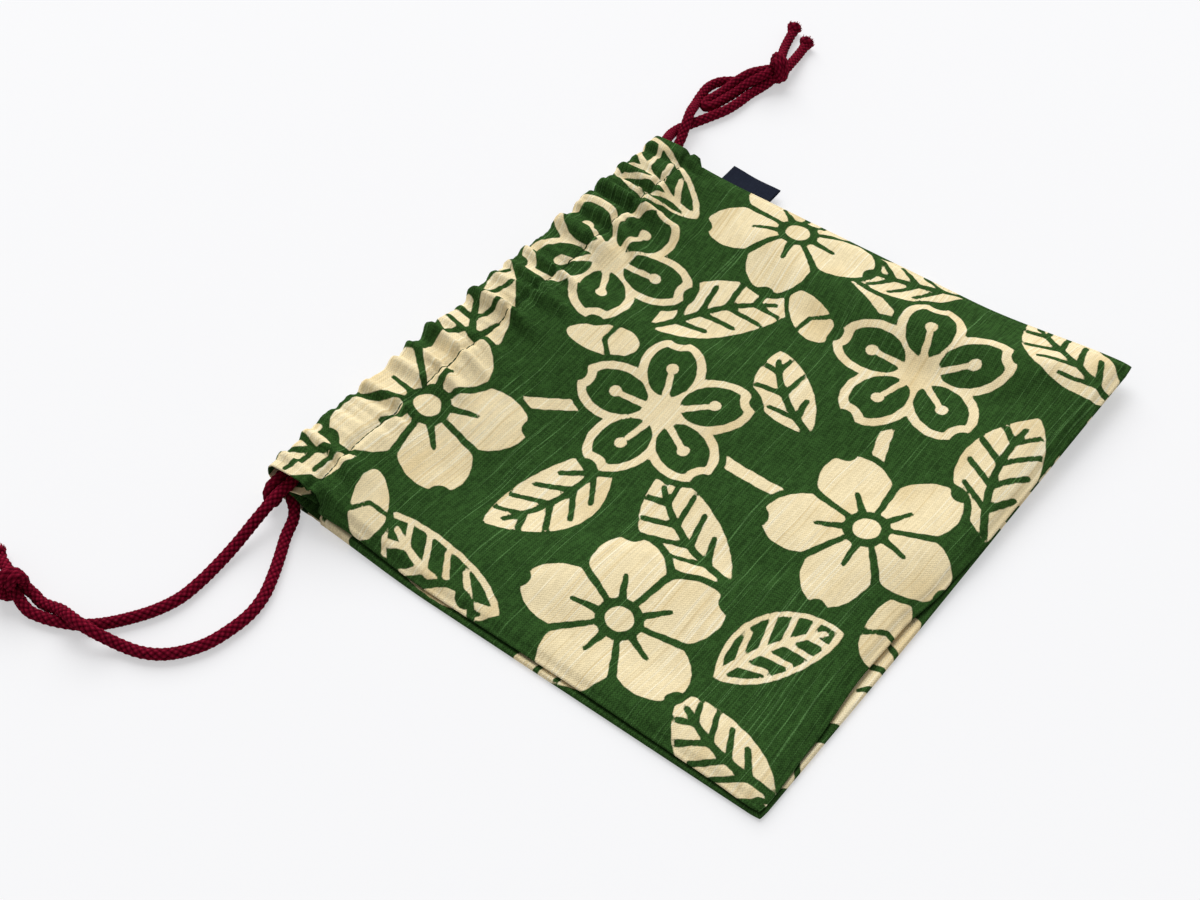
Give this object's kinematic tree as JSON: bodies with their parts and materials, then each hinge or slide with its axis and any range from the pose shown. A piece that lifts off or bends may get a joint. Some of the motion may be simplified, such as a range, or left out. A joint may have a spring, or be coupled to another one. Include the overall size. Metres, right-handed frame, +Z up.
{
  "type": "drawstring pouch",
  "caption": "Flat drawstring pouch of printed cloth: sewn panels with a gathered channel at the mouth, round knotted cords drawn from both sides, and a folded label in the side seam.",
  "frame": {"origin": "under the middle of the pouch, on the surface that it lies on", "axes": "+X across the pouch towards the label's side seam, +Y from the bottom seam to the mouth, +Z up through the front panel"},
  "size_m": [0.4566, 0.2894, 0.015],
  "materials": {
    "printed_cloth": "matt slub cotton, green ground with a cream print",
    "cord_braid": "round braided cotton cord, dark wine red",
    "label_weave": "dark woven ribbon, plain"
  },
  "bodies": {
    "root": {"front_panel": "printed_cloth", "back_panel": "printed_cloth", "side_label": "label_weave", "left_cord": "cord_braid", "left_cord_knot": "cord_braid", "right_cord": "cord_braid", "right_cord_knot": "cord_braid"}
  },
  "joints": []
}
